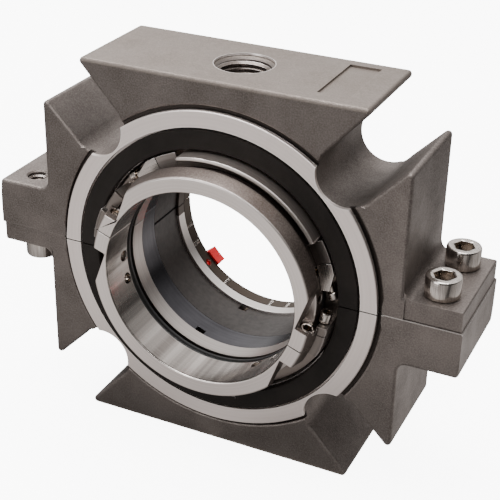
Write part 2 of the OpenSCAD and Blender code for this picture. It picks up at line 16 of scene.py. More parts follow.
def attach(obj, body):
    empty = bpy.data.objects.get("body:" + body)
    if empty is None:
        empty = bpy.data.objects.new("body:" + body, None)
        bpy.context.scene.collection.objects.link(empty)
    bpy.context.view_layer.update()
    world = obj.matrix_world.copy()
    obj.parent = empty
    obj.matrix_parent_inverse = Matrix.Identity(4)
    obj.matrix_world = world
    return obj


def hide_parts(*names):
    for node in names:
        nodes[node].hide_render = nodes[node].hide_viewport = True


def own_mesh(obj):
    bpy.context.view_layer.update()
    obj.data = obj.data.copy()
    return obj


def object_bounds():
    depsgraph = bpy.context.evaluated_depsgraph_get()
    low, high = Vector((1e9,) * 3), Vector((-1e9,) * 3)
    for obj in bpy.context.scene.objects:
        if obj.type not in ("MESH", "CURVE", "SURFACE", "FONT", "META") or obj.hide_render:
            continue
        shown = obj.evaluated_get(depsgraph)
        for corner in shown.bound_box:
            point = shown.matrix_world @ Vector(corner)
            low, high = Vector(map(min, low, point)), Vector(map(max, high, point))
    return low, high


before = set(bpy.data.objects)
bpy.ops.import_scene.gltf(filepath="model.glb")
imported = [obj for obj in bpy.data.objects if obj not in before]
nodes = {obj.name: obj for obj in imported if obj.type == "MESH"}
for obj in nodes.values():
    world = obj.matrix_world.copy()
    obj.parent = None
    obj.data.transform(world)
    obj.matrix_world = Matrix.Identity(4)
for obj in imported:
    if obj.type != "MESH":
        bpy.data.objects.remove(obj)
cad_box = [list(corner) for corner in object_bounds()]
MM = 0.001
print("solids loaded:", len(nodes), "box", [[round(v, 4) for v in corner] for corner in cad_box])

# %% [markdown]
# The camera stands up and to the right of the shaft, as the photographer's did. Its place was
# worked out from the edges and circles of the rings, so that the solids fall on their pictures.
# The lens is long, which keeps the far side of the rings nearly as large as the near side.

# %% Camera
AZIMUTH, ELEVATION, ROLL = (math.radians(a) for a in (24.879, 27.246, 1.175))
back = Vector((math.sin(AZIMUTH) * math.cos(ELEVATION), -math.cos(AZIMUTH) * math.cos(ELEVATION),
               math.sin(ELEVATION)))
level = Vector((math.cos(AZIMUTH), math.sin(AZIMUTH), 0))
rise = back.cross(level)
right = math.cos(ROLL) * level + math.sin(ROLL) * rise
up = math.cos(ROLL) * rise - math.sin(ROLL) * level
eye = back * 0.45215 + right * 0.010805 + up * 0.012825
camera_data = bpy.data.cameras.new("camera")
camera_data.sensor_width = 36
camera_data.lens = 87.665
camera_data.shift_x = 0.01165
camera_data.shift_y = -0.02235
camera = bpy.data.objects.new("camera", camera_data)
camera.matrix_world = Matrix((
    (right.x, up.x, back.x, eye.x),
    (right.y, up.y, back.y, eye.y),
    (right.z, up.z, back.z, eye.z),
    (0, 0, 0, 1)))
bpy.context.scene.collection.objects.link(camera)
bpy.context.scene.camera = camera
print("camera at", [round(v, 3) for v in eye])

# %% [markdown]
# Each skin below is a small network of nodes. Three effects serve several metals, so each is a
# node group that is built once: the grain of blasted casting, the fine rings that a lathe tool
# leaves, and a painted highlight along each edge. A group only puts out masks and heights. What
# they do to the colour and the shine is settled in each material.


# %% Node helpers
def link(tree, source, target):
    tree.links.new(source, target)


def math_node(tree, operation, first, second=None):
    """A Math node whose inputs are numbers or sockets."""
    node = tree.nodes.new("ShaderNodeMath")
    node.operation = operation
    for index, value in enumerate((first, second)):
        if value is None:
            continue
        if isinstance(value, (int, float)):
            node.inputs[index].default_value = value
        else:
            link(tree, value, node.inputs[index])
    return node.outputs[0]


def add(tree, first, second):
    return math_node(tree, "ADD", first, second)


def times(tree, *values):
    """The product of two or more numbers or sockets."""
    result = values[0]
    for value in values[1:]:
        result = math_node(tree, "MULTIPLY", result, value)
    return result


def less(tree, value, limit):
    return math_node(tree, "LESS_THAN", value, limit)


def more(tree, value, limit):
    return math_node(tree, "GREATER_THAN", value, limit)


def size_of(tree, value):
    return math_node(tree, "ABSOLUTE", value)


def flat_distance(tree, first, second):
    """Distance to a point from its two coordinates in one plane."""
    return math_node(tree, "SQRT", add(tree, times(tree, first, first), times(tree, second, second)))


def noise(tree, vector, scale, detail=2.0, roughness=0.5):
    node = tree.nodes.new("ShaderNodeTexNoise")
    node.inputs["Scale"].default_value = scale
    node.inputs["Detail"].default_value = detail
    node.inputs["Roughness"].default_value = roughness
    link(tree, vector, node.inputs["Vector"])
    return node.outputs["Fac"]


def noise_1d(tree, value, scale, detail=2.0):
    node = tree.nodes.new("ShaderNodeTexNoise")
    node.noise_dimensions = "1D"
    node.inputs["Scale"].default_value = scale
    node.inputs["Detail"].default_value = detail
    link(tree, value, node.inputs["W"])
    return node.outputs["Fac"]


def map_range(tree, value, low, high, to_low=0.0, to_high=1.0, smooth=False):
    node = tree.nodes.new("ShaderNodeMapRange")
    node.interpolation_type = "SMOOTHSTEP" if smooth else "LINEAR"
    ends = {"From Min": low, "From Max": high, "To Min": to_low, "To Max": to_high}
    for name, number in ends.items():
        node.inputs[name].default_value = number
    link(tree, value, node.inputs["Value"])
    return node.outputs["Result"]


def mix_colour(tree, factor, first, second):
    """Mixes two colours, each given as a triple or a socket."""
    node = tree.nodes.new("ShaderNodeMix")
    node.data_type = "RGBA"
    link(tree, factor, node.inputs["Factor"])
    for name, value in (("A", first), ("B", second)):
        socket = [s for s in node.inputs if s.name == name and s.type == "RGBA"][0]
        if isinstance(value, tuple):
            socket.default_value = (*value, 1)
        else:
            link(tree, value, socket)
    return [s for s in node.outputs if s.type == "RGBA"][0]


def object_point(tree):
    return tree.nodes.new("ShaderNodeTexCoord").outputs["Object"]


def split_point(tree, point):
    node = tree.nodes.new("ShaderNodeSeparateXYZ")
    link(tree, point, node.inputs[0])
    return node.outputs


def shaft_radius(tree, parts):
    """Distance from the shaft axis, which is the Y axis."""
    return flat_distance(tree, parts[0], parts[2])


def true_normal(tree):
    """The normal of the face itself, in three parts."""
    return split_point(tree, tree.nodes.new("ShaderNodeNewGeometry").outputs["True Normal"])


def facing_front(tree, low, high):
    """A mask of the faces that look at the pump, along -Y."""
    return map_range(tree, times(tree, true_normal(tree)[1], -1.0), low, high)


def new_group(name, inputs, outputs):
    """A shader node group with float inputs, given with their defaults, and float outputs."""
    tree = bpy.data.node_groups.new(name, "ShaderNodeTree")
    for label, value in inputs:
        socket = tree.interface.new_socket(name=label, in_out="INPUT", socket_type="NodeSocketFloat")
        socket.default_value = value
    for label in outputs:
        tree.interface.new_socket(name=label, in_out="OUTPUT", socket_type="NodeSocketFloat")
    return tree, tree.nodes.new("NodeGroupInput").outputs, tree.nodes.new("NodeGroupOutput").inputs


def place_group(tree, group, **values):
    node = tree.nodes.new("ShaderNodeGroup")
    node.node_tree = group
    for label, value in values.items():
        node.inputs[label].default_value = value
    return node.outputs


# %% Group: blasted grain of the casting
cast_grain, given, out = new_group("cast_grain", [("Grain", 1.0)], ["Height", "Tone", "Speck"])
point = object_point(cast_grain)
fine = noise(cast_grain, point, 1700, 3, 0.6)
medium = noise(cast_grain, point, 420, 3, 0.55)
blotch = noise(cast_grain, point, 60, 4, 0.6)
wide = noise(cast_grain, point, 17, 3, 0.5)
rough = add(cast_grain, times(cast_grain, fine, 0.6), times(cast_grain, medium, 0.4))
link(cast_grain, times(cast_grain, rough, given["Grain"]), out["Height"])
tone = add(cast_grain, times(cast_grain, blotch, 0.55), times(cast_grain, wide, 0.45))
link(cast_grain, map_range(cast_grain, tone, 0.36, 0.64), out["Tone"])
link(cast_grain, map_range(cast_grain, fine, 0.40, 0.66), out["Speck"])

# %% Group: rings left by the lathe
# On a face the rings follow the distance from the shaft, on a bore or a rim they follow Y.
lathe_rings, given, out = new_group("lathe_rings", [("Fineness", 1.0)], ["Height", "Tone"])
point = object_point(lathe_rings)
parts = split_point(lathe_rings, point)
radius = shaft_radius(lathe_rings, parts)
facing = map_range(lathe_rings, size_of(lathe_rings, true_normal(lathe_rings)[1]), 0.6, 0.8)
turned_side = math_node(lathe_rings, "SUBTRACT", 1.0, facing)
along = add(lathe_rings, times(lathe_rings, radius, facing), times(lathe_rings, parts[1], turned_side))
along = times(lathe_rings, along, given["Fineness"])
tool = noise_1d(lathe_rings, along, 5200, 2)
chatter = noise_1d(lathe_rings, along, 900, 3)
height = add(lathe_rings, times(lathe_rings, tool, 0.65), times(lathe_rings, chatter, 0.35))
link(lathe_rings, height, out["Height"])
link(lathe_rings, map_range(lathe_rings, chatter, 0.3, 0.7), out["Tone"])

# %% Group: painted edge highlights
# The Bevel node looks at the faces round a point. Where its normal leans away from the true one,
# the point is near an edge.
edge_highlight, given, out = new_group("edge_highlight", [("Radius", 0.0004)], ["Mask"])
bevel_node = edge_highlight.nodes.new("ShaderNodeBevel")
bevel_node.samples = 6
link(edge_highlight, given["Radius"], bevel_node.inputs["Radius"])
dot = edge_highlight.nodes.new("ShaderNodeVectorMath")
dot.operation = "DOT_PRODUCT"
link(edge_highlight, bevel_node.outputs[0], dot.inputs[0])
link(edge_highlight, edge_highlight.nodes.new("ShaderNodeNewGeometry").outputs["Normal"], dot.inputs[1])
link(edge_highlight, map_range(edge_highlight, dot.outputs["Value"], 0.99, 0.80), out["Mask"])
print("node groups:", cast_grain.name, lathe_rings.name, edge_highlight.name)


# %% [markdown]
# Now the materials. The gland is one casting with turned faces, so its material tells the two
# apart by place: everything close to the shaft and the land round the gasket are machined, the
# rest keeps the blasted skin. The skins differ mostly in how sharply they mirror the room.


# %% Turned metal, the plainest skin
def new_material(name, metallic, roughness):
    material = bpy.data.materials.new(name)
    material.use_nodes = True
    tree = material.node_tree
    shader = tree.nodes["Principled BSDF"]
    shader.inputs["Metallic"].default_value = metallic
    shader.inputs["Roughness"].default_value = roughness
    return material, tree, shader.inputs


def add_bump(tree, height, target, strength, distance):
    bump = tree.nodes.new("ShaderNodeBump")
    bump.inputs["Strength"].default_value = strength
    bump.inputs["Distance"].default_value = distance
    link(tree, height, bump.inputs["Height"])
    link(tree, bump.outputs[0], target["Normal"])


def turned_metal(name, dark, light, edge_colour, roughness, spread, fineness=1.0, bump=0.25):
    """Turned metal: rings in its colour, shine and height, and painted highlights along its edges."""
    material, tree, target = new_material(name, 1.0, roughness)
    rings = place_group(tree, lathe_rings, Fineness=fineness)
    stain = map_range(tree, noise(tree, object_point(tree), 70, 4, 0.6), 0.35, 0.7)
    tone = add(tree, times(tree, rings["Tone"], 0.55), times(tree, stain, 0.45))
    shine = place_group(tree, edge_highlight, Radius=0.00035)["Mask"]
    # Painted highlights along the edges.
    link(tree, mix_colour(tree, shine, mix_colour(tree, tone, dark, light), edge_colour), target["Base Color"])
    link(tree, map_range(tree, tone, 0, 1, roughness + spread, roughness - spread), target["Roughness"])
    add_bump(tree, rings["Height"], target, bump, 0.00006)
    return material


# %% Skin of the casting
PORT_Y = 22.35 * MM


def cast_material(name):
    """Blasted casting with its turned faces told apart by their place."""
    material, tree, target = new_material(name, 0.9, 0.5)
    parts = split_point(tree, object_point(tree))
    radius = shaft_radius(tree, parts)
    x, y, z = parts[0], parts[1], parts[2]
    near_land = times(tree, less(tree, radius, 0.0642), less(tree, y, 0.0002))
    inside = less(tree, radius, 0.0578)
    behind = more(tree, y, 0.0449)
    from_port = flat_distance(tree, x, math_node(tree, "SUBTRACT", y, PORT_Y))
    rim = times(tree, less(tree, from_port, 0.0114), more(tree, size_of(tree, z), 0.0744))
    machined = inside
    for mask in (behind, near_land, rim):
        machined = math_node(tree, "MAXIMUM", machined, mask)
    bore = times(tree, less(tree, radius, 0.0394), more(tree, y, 0.0490))
    grain = place_group(tree, cast_grain)
    rings = place_group(tree, lathe_rings)
    shine = place_group(tree, edge_highlight, Radius=0.0009)["Mask"]

    skin = mix_colour(tree, grain["Tone"], (0.108, 0.090, 0.081), (0.205, 0.177, 0.163))
    skin = mix_colour(tree, times(tree, grain["Speck"], 0.55), skin, (0.29, 0.258, 0.24))
    # Painted shade darkens the front faces, but for the right ear and horn.
    front = times(tree, facing_front(tree, 0.90, 0.99), map_range(tree, x, 0.050, 0.070, 0.34, 0.0))
    front = times(tree, front, map_range(tree, x, -0.075, -0.050, 0.5, 1.0))
    skin = mix_colour(tree, front, skin, (0.030, 0.024, 0.021))
    # Painted highlights along the cast edges.
    skin = mix_colour(tree, times(tree, shine, 0.2), skin, (0.40, 0.36, 0.34))
    # Painted light: the top and bottom faces are made lighter and warmer.
    top = times(tree, more(tree, size_of(tree, z), 0.0735), 0.28)
    skin = mix_colour(tree, top, skin, (0.35, 0.295, 0.250))
    # A painted highlight brightens the parting edge on the right, and painted shade darkens the relief round the land.
    parting_highlight = times(tree, more(tree, z, -0.0007), less(tree, z, 0.0), more(tree, x, 0.0), shine)
    skin = mix_colour(tree, parting_highlight, skin, (0.80, 0.76, 0.73))
    groove_shade = times(tree, less(tree, radius, 0.0656), more(tree, radius, 0.0635))
    groove_shade = times(tree, groove_shade, map_range(tree, y, 0.0000, 0.0009), less(tree, y, 0.0020))
    skin = mix_colour(tree, groove_shade, skin, (0.045, 0.037, 0.033))

    land = mix_colour(tree, rings["Tone"], (0.78, 0.70, 0.665), (0.83, 0.75, 0.715))
    # Painted highlights along the land's edges.
    land = mix_colour(tree, shine, land, (0.93, 0.89, 0.86))
    land = mix_colour(tree, bore, land, (0.070, 0.053, 0.041))
    link(tree, mix_colour(tree, machined, skin, land), target["Base Color"])

    cast = math_node(tree, "SUBTRACT", 1.0, machined)
    cast_rough = map_range(tree, grain["Tone"], 0, 1, 0.58, 0.42)
    land_rough = map_range(tree, rings["Tone"], 0, 1, 0.40, 0.36)
    link(tree, add(tree, times(tree, cast_rough, cast), times(tree, land_rough, machined)), target["Roughness"])
    height = add(tree, times(tree, grain["Height"], cast), times(tree, rings["Height"], 0.04, machined))
    add_bump(tree, height, target, 0.55, 0.00035)
    return material


# %% [markdown]
# The rotor's rings were turned in several cuts. The collar is light on its face, polished where
# the shaft slides in, and grainy on the cone, whose darkness is painted shade. The holder's walls
# are coarser than its crest and its deep faces carry painted shade, and the thrust ring carries
# painted shade above the split. Radius, Y and the normal tell these apart.


# %% Skins of the turned rings
def collar_material(name):
    """Turned steel: light on the front face, polished in the bore, grainy on the cone outside, where painted shade
    darkens it; its edges carry painted highlights.
    """
    material, tree, target = new_material(name, 1.0, 0.3)
    parts = split_point(tree, object_point(tree))
    radius = shaft_radius(tree, parts)
    face = facing_front(tree, 0.55, 0.85)
    bore = less(tree, radius, 0.0385)
    rings = place_group(tree, lathe_rings)
    grain = place_group(tree, cast_grain)
    shine = place_group(tree, edge_highlight, Radius=0.0003)["Mask"]
    # The cone keeps a cast grain, and its darkness is painted shade.
    cone_grain_and_shade = mix_colour(tree, grain["Tone"], (0.115, 0.093, 0.083), (0.185, 0.155, 0.140))
    cone_grain_and_shade = mix_colour(tree, times(tree, grain["Speck"], 0.5), cone_grain_and_shade, (0.30, 0.26, 0.235))
    light = mix_colour(tree, rings["Tone"], (0.68, 0.62, 0.59), (0.74, 0.68, 0.65))
    around = math_node(tree, "ARCTAN2", parts[2], parts[0])
    band = map_range(tree, noise_1d(tree, around, 5.5, 3), 0.38, 0.64)
    polish = mix_colour(tree, band, (0.22, 0.195, 0.18), (0.60, 0.555, 0.52))
    polish = mix_colour(tree, times(tree, rings["Tone"], 0.35), polish, (0.50, 0.46, 0.43))
    colour = mix_colour(tree, bore, mix_colour(tree, face, cone_grain_and_shade, light), polish)
    # Painted highlights along the edges.
    link(tree, mix_colour(tree, times(tree, shine, 0.7), colour, (0.84, 0.80, 0.77)), target["Base Color"])
    sheen = mix_colour(tree, face, (0.44, 0.44, 0.44), (0.33, 0.33, 0.33))
    link(tree, split_point(tree, mix_colour(tree, bore, sheen, (0.21, 0.21, 0.21)))[0], target["Roughness"])
    add_bump(tree, rings["Height"], target, 0.12, 0.00006)
    return material


def holder_material(name):
    """Turned steel whose outer wall is finished coarser than its crest, with painted shade on its deep front faces and
    just within the front of the lip, and painted highlights along its edges.
    """
    material, tree, target = new_material(name, 1.0, 0.3)
    parts = split_point(tree, object_point(tree))
    radius = shaft_radius(tree, parts)
    wall = times(tree, more(tree, radius, 0.0482), less(tree, parts[1], 0.001))
    # Painted shade on the deep front faces and just within the front of the lip.
    deep_face_shade = times(tree, facing_front(tree, 0.55, 0.85), more(tree, parts[1], -0.0070))
    lip_shade = times(tree, map_range(tree, radius, 0.0482, 0.0477), less(tree, parts[1], -0.0062))
    rings = place_group(tree, lathe_rings)
    shine = place_group(tree, edge_highlight, Radius=0.0003)["Mask"]
    plain = mix_colour(tree, rings["Tone"], (0.46, 0.415, 0.39), (0.58, 0.535, 0.505))
    plain = mix_colour(tree, deep_face_shade, plain, (0.25, 0.215, 0.195))
    outer = mix_colour(tree, rings["Tone"], (0.44, 0.385, 0.355), (0.56, 0.50, 0.465))
    colour = mix_colour(tree, lip_shade, mix_colour(tree, wall, plain, outer), (0.20, 0.175, 0.16))
    # Painted highlights along the edges, except within the lip.
    outside = times(tree, shine, math_node(tree, "SUBTRACT", 0.7, times(tree, lip_shade, 0.7)))
    link(tree, mix_colour(tree, outside, colour, (0.90, 0.87, 0.85)), target["Base Color"])
    link(tree, map_range(tree, wall, 0, 1, 0.34, 0.40), target["Roughness"])
    add_bump(tree, rings["Height"], target, 0.08, 0.00006)
    return material


def thrust_material(name):
    """Light turned steel, with painted shade from just below the split upwards."""
    material = turned_metal(name, (0.74, 0.69, 0.66), (0.84, 0.79, 0.76), (0.92, 0.90, 0.88), 0.33, 0.04)
    tree = material.node_tree
    target = tree.nodes["Principled BSDF"].inputs["Base Color"]
    turned = target.links[0].from_socket
    # Painted shade from just below the split upwards.
    upper = more(tree, split_point(tree, object_point(tree))[2], -0.004)
    link(tree, mix_colour(tree, upper, turned, (0.10, 0.082, 0.072)), target)
    return material


# %% [markdown]
# Rubber, plastic and carbon have no grain that shows at this size, so one speckled skin serves
# them all. The pressed gasket has a net of fine dots, and the screws are polished, with darker
# sockets, because little light reaches the bottom of a deep hole.


# %% Skins of carbon, rubber, gasket and screws
def speckled(name, dark, light, roughness, spread, scale, metallic=0.0, bump=0.2, split=0.0):
    """Matt material with a fine mottle. A split paints shade into the gap where two halves meet at Z = 0."""
    material, tree, target = new_material(name, metallic, roughness)
    point = object_point(tree)
    small = noise(tree, point, scale, 3, 0.6)
    large = noise(tree, point, scale / 14, 3, 0.55)
    tone = add(tree, times(tree, small, 0.5), times(tree, large, 0.5))
    spread_tone = map_range(tree, tone, 0.36, 0.64)
    colour = mix_colour(tree, spread_tone, dark, light)
    if split:
        # Painted shade along the split between the halves.
        line = less(tree, size_of(tree, split_point(tree, point)[2]), split)
        colour = mix_colour(tree, line, colour, (0.004, 0.003, 0.003))
        link(tree, map_range(tree, line, 0, 1, metallic, 1.0), target["Metallic"])
    link(tree, colour, target["Base Color"])
    link(tree, map_range(tree, spread_tone, 0, 1, roughness + spread, roughness - spread), target["Roughness"])
    add_bump(tree, small, target, bump, 0.0001)
    return material


def gasket_material(name):
    """Pressed fibre sheet: near black, with a fine net of dots."""
    material, tree, target = new_material(name, 0.0, 0.6)
    parts = split_point(tree, object_point(tree))
    waves = [math_node(tree, "SINE", times(tree, slant, 7600))
             for slant in (add(tree, parts[0], parts[2]), math_node(tree, "SUBTRACT", parts[0], parts[2]))]
    dots = map_range(tree, times(tree, *waves), 0.15, 0.8)
    cloud = map_range(tree, noise(tree, object_point(tree), 45, 4, 0.6), 0.35, 0.7)
    base = mix_colour(tree, cloud, (0.0050, 0.0038, 0.0032), (0.013, 0.0098, 0.0085))
    link(tree, mix_colour(tree, times(tree, dots, 0.60), base, (0.042, 0.034, 0.029)), target["Base Color"])
    target["Specular IOR Level"].default_value = 0.16
    link(tree, map_range(tree, cloud, 0, 1, 0.62, 0.48), target["Roughness"])
    add_bump(tree, dots, target, 0.35, 0.00006)
    return material


def polished(name, colour, streak_colour, roughness):
    """Polished steel with fine streaks up and down."""
    material, tree, target = new_material(name, 1.0, roughness)
    stretch = tree.nodes.new("ShaderNodeMapping")
    stretch.inputs["Scale"].default_value = (1, 1, 0.04)
    link(tree, object_point(tree), stretch.inputs["Vector"])
    streak = noise(tree, stretch.outputs[0], 2600, 3, 0.6)
    tone = map_range(tree, streak, 0.35, 0.65)
    closed = tree.nodes.new("ShaderNodeAmbientOcclusion")
    closed.samples = 6
    closed.inputs["Distance"].default_value = 0.004
    open_sky = map_range(tree, closed.outputs["AO"], 0.30, 0.85)
    steel = mix_colour(tree, tone, streak_colour, colour)
    link(tree, mix_colour(tree, open_sky, (0.25, 0.195, 0.14), steel), target["Base Color"])
    link(tree, map_range(tree, tone, 0, 1, roughness + 0.06, roughness - 0.03), target["Roughness"])
    add_bump(tree, streak, target, 0.12, 0.00004)
    return material


# %% Dress the solids
skins = {
    "cast_steel": cast_material("cast_skin"),
    "turned_steel": turned_metal("turned_skin", (0.43, 0.39, 0.365), (0.58, 0.54, 0.51), (0.85, 0.82, 0.80), 0.27, 0.06),
    "collar_steel": collar_material("collar_skin"),
    "screw_steel": polished("screw_skin", (0.66, 0.615, 0.58), (0.42, 0.38, 0.35), 0.17),
    "gasket_black": gasket_material("gasket_skin"),
    "oring_black": speckled("oring_skin", (0.010, 0.010, 0.010), (0.018, 0.018, 0.018), 0.38, 0.06, 900),
    "clip_red": speckled("clip_skin", (0.80, 0.006, 0.012), (0.92, 0.012, 0.018), 0.42, 0.05, 700),
    "rotary_ceramic": turned_metal("rotary_skin", (0.050, 0.048, 0.053), (0.105, 0.102, 0.112), (0.26, 0.26, 0.28),
                                   0.22, 0.05, 0.6, 0.10),
    "stationary_carbon": speckled("carbon_skin", (0.036, 0.028, 0.025), (0.068, 0.055, 0.050), 0.36, 0.06, 500,
                                  0.25, 0.1, split=0.0006),
}
holder_skin = holder_material("holder_skin")
thrust_skin = thrust_material("thrust_skin")
# The top lock ring gets this darker copy of the turned skin as painted shade.
lock_shade_skin = turned_metal("lock_shade_skin", (0.23, 0.20, 0.185), (0.34, 0.30, 0.28), (0.80, 0.77, 0.75), 0.33, 0.05)
thread_skin = turned_metal("thread_skin", (0.13, 0.105, 0.092), (0.24, 0.205, 0.185), (0.72, 0.68, 0.65), 0.30, 0.05)
special_skins = {"holder_upper": holder_skin, "holder_lower": holder_skin, "lock_ring_top": lock_shade_skin,
                 "thrust_ring_upper": thrust_skin, "thrust_ring_lower": thrust_skin}
dressed = 0
for name, obj in nodes.items():
    for place in obj.material_slots:
        slot_name = place.material.name.split(".")[0]
        if slot_name in skins:
            place.material = special_skins.get(name, skins[slot_name])
            dressed += 1
print("material slots dressed:", dressed, "of", len(nodes))


# %% [markdown]
# New pieces are meshes in place, on objects at the origin. One helper links the finished mesh,
# shades it, lets it ride with its body and hides the CAD node that it stands for.


# %% Helpers for new pieces
def add_piece(name, bm, slot_name, body="root", stands_for=(), sharp=35):
    bmesh.ops.recalc_face_normals(bm, faces=bm.faces)
    for face in bm.faces:
        face.smooth = True
    for edge in bm.edges:
        edge.smooth = edge.is_manifold and edge.calc_face_angle(0) < math.radians(sharp)
    mesh = bpy.data.meshes.new(name)
    bm.to_mesh(mesh)
    bm.free()
    obj = bpy.data.objects.new(name, mesh)
    bpy.context.scene.collection.objects.link(obj)
    mesh.materials.append(skins[slot_name])
    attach(obj, body)
    if stands_for:
        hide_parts(*stands_for)
    return obj


def weigh_normals(obj):
    """Keeps large flat faces flat beside narrow rounded edges."""
    weighted = obj.modifiers.new("weighted", "WEIGHTED_NORMAL")
    weighted.keep_sharp = True
    weighted.weight = 80


def clean_copy(node):
    """A merged copy of a CAD node's mesh, with its flat faces joined."""
    bm = bmesh.new()
    bm.from_mesh(nodes[node].data)
    bmesh.ops.remove_doubles(bm, verts=bm.verts, dist=2e-6)
    bmesh.ops.dissolve_limit(bm, angle_limit=math.radians(0.4), verts=bm.verts, edges=bm.edges,
                             delimit=set())
    bmesh.ops.recalc_face_normals(bm, faces=bm.faces)
    return bm


def keep_inside(bm, node):
    """Brings back any corner that a bevel threw past the box of its CAD node."""
    box = [[pick(v.co[axis] for v in nodes[node].data.vertices) for axis in range(3)] for pick in (min, max)]
    for vert in bm.verts:
        vert.co = [min(max(vert.co[axis], box[0][axis]), box[1][axis]) for axis in range(3)]


def round_edges(bm, edges, width, segments):
    if edges:
        bmesh.ops.bevel(bm, geom=edges, offset=width, offset_type="OFFSET", segments=segments, profile=0.5,
                        affect="EDGES", clamp_overlap=False, material=-1)


# %% [markdown]
# The gland halves are cast, so their outer edges are round. The solids have crisp ones, because
# a rounded edge along a free outline is easier to make on a mesh: a copy of each half gets a bevel
# round its front and rear outline, a narrow one along the parting line, and one at each screw hole.

# %% Gland halves
FRONT, REAR, LAND_FRONT = 0.0, 44.7 * MM, -1.3 * MM
LAND_RADIUS, RELIEF_RADIUS, OUTLINE_RADIUS = 64 * MM, 65.4 * MM, 66.6 * MM
CAD_RELIEF_FLOOR, RELIEF_FLOOR = 0.4 * MM, 1.4 * MM
TOP, CAD_RECESS_FLOOR, RECESS_FLOOR = 75 * MM, 74.6 * MM, 74.15 * MM
PORT_MOUTH = 11.2 * MM
EAR_SCREW_X, EAR_SCREW_Y, EAR_TOP = 83.7 * MM, (10 * MM, 34.7 * MM), 18.6 * MM
EAR_HOLE = 4 * MM


def near(value, place, within=1e-5):
    return abs(value - place) < within


def on_ear_hole(point, y):
    reach = math.hypot(abs(point.x) - EAR_SCREW_X, point.y - y)
    return near(reach, EAR_HOLE, 0.05 * MM) and near(abs(point.z), EAR_TOP)


def gland_edges(bm, kind):
    """The sharp edges of one kind, told by their place."""
    found = []
    for edge in bm.edges:
        if not edge.is_manifold or edge.calc_face_angle(0) < math.radians(30):
            continue
        a, b = (vert.co for vert in edge.verts)
        radius = min(math.hypot(a.x, a.z), math.hypot(b.x, b.z))
        high = min(abs(a.z), abs(b.z))
        flat = abs(a.y - b.y) < 1e-6
        wanted = {
            "outline": flat and radius > OUTLINE_RADIUS and high > 1.5 * MM and (near(a.y, FRONT) or near(a.y, REAR)),
            "relief": flat and near(a.y, FRONT) and near(radius, RELIEF_RADIUS, 0.15 * MM) and high > 0.5 * MM,
            "land": flat and near(a.y, LAND_FRONT) and near(radius, LAND_RADIUS, 0.15 * MM) and high > 0.5 * MM,
            "parting": max(abs(a.z), abs(b.z)) < 1e-5 and radius > OUTLINE_RADIUS,
            "holes": any(on_ear_hole(a, y) and on_ear_hole(b, y) for y in EAR_SCREW_Y),
        }
        if wanted[kind]:
            found.append(edge)
    return found


def deepen_cuts(bm):
    """Lowers the floors of the relief and the recess, and draws in the mouth of the port."""
    for vert in bm.verts:
        radius = math.hypot(vert.co.x, vert.co.z)
        if near(vert.co.y, CAD_RELIEF_FLOOR, 0.02 * MM) and 63.8 * MM < radius < 65.6 * MM:
            vert.co.y = RELIEF_FLOOR
        if near(abs(vert.co.z), CAD_RECESS_FLOOR, 0.02 * MM) and abs(vert.co.x) > 15 * MM:
            vert.co.z = math.copysign(RECESS_FLOOR, vert.co.z)
        from_port = math.hypot(vert.co.x, vert.co.y - PORT_Y)
        if near(abs(vert.co.z), TOP, 0.02 * MM) and from_port < 12.3 * MM:
            reach = PORT_MOUTH / from_port
            vert.co.x, vert.co.y = vert.co.x * reach, PORT_Y + (vert.co.y - PORT_Y) * reach


for half in ("upper", "lower"):
    bm = clean_copy("gland_" + half)
    deepen_cuts(bm)
    counts = {}
    for kind, width, segments in (("outline", 1.25 * MM, 3), ("relief", 1.0 * MM, 4), ("land", 0.45 * MM, 3),
                                  ("parting", 0.3 * MM, 1), ("holes", 0.6 * MM, 1)):
        edges = gland_edges(bm, kind)
        counts[kind] = len(edges)
        round_edges(bm, edges, width, segments)
    piece = add_piece("casting_" + half, bm, "cast_steel", "root", ("gland_" + half,), 30)
    weigh_normals(piece)
    print(piece.name, counts, "faces", len(piece.data.polygons))

# %% [markdown]
# A thread is one ridge that climbs round its hole, so it is made that way: a small tooth section
# is spun round the hole's axis while it rises by one pitch a turn. The flush port has a pipe
# thread, and the ears show the last turns of theirs above the screw ends.


# %% Threads
def thread(bm, centre, radius, depth, pitch, low, high, steps=40):
    """A spun ridge along Z on the wall of a hole, between two heights."""
    turns = (high - low - pitch) / pitch
    root, crest = radius + 0.05 * MM, radius - depth
    tooth = [(root, 0), (crest, pitch * 0.42), (crest, pitch * 0.56), (root, pitch * 0.98)]
    ring = [bm.verts.new((centre[0] + r, centre[1], low + z)) for r, z in tooth]
    face = bm.faces.new(ring)
    count = max(8, round(steps * turns))
    bmesh.ops.spin(bm, geom=[face] + list(face.edges) + ring, cent=(centre[0], centre[1], 0), axis=(0, 0, 1),
                   dvec=(0, 0, turns * pitch / count), angle=turns * 2 * math.pi, steps=count, use_duplicate=False)


bm = bmesh.new()
thread(bm, (0, PORT_Y), 10 * MM, 0.95 * MM, 1.81 * MM, 59.2 * MM, 72.9 * MM, 48)
port_thread = add_piece("port_thread", bm, "turned_steel")
bm = bmesh.new()
for side, low, high in ((-1, 11.4, 17.9), (1, -17.9, -11.4)):
    for y in EAR_SCREW_Y:
        thread(bm, (side * EAR_SCREW_X, y), EAR_HOLE, 0.6 * MM, 1.25 * MM, low * MM, high * MM, 32)
ear_threads = add_piece("ear_threads", bm, "turned_steel")
port_thread.data.materials[0] = thread_skin
ear_threads.data.materials[0] = thread_skin
print("threads:", len(port_thread.data.polygons), "and", len(ear_threads.data.polygons), "faces")

# %% [markdown]
# Cap screws come in four sizes here, all of one shape: a turned head with a hexagon socket. The
# set screws in the collar's bore are made by the same steps, with a head as slim as the thread.
# The body is a section spun round the screw's axis. The socket goes down from the circle at its
# mouth to a hexagon with as many points, so no face has to be cut.


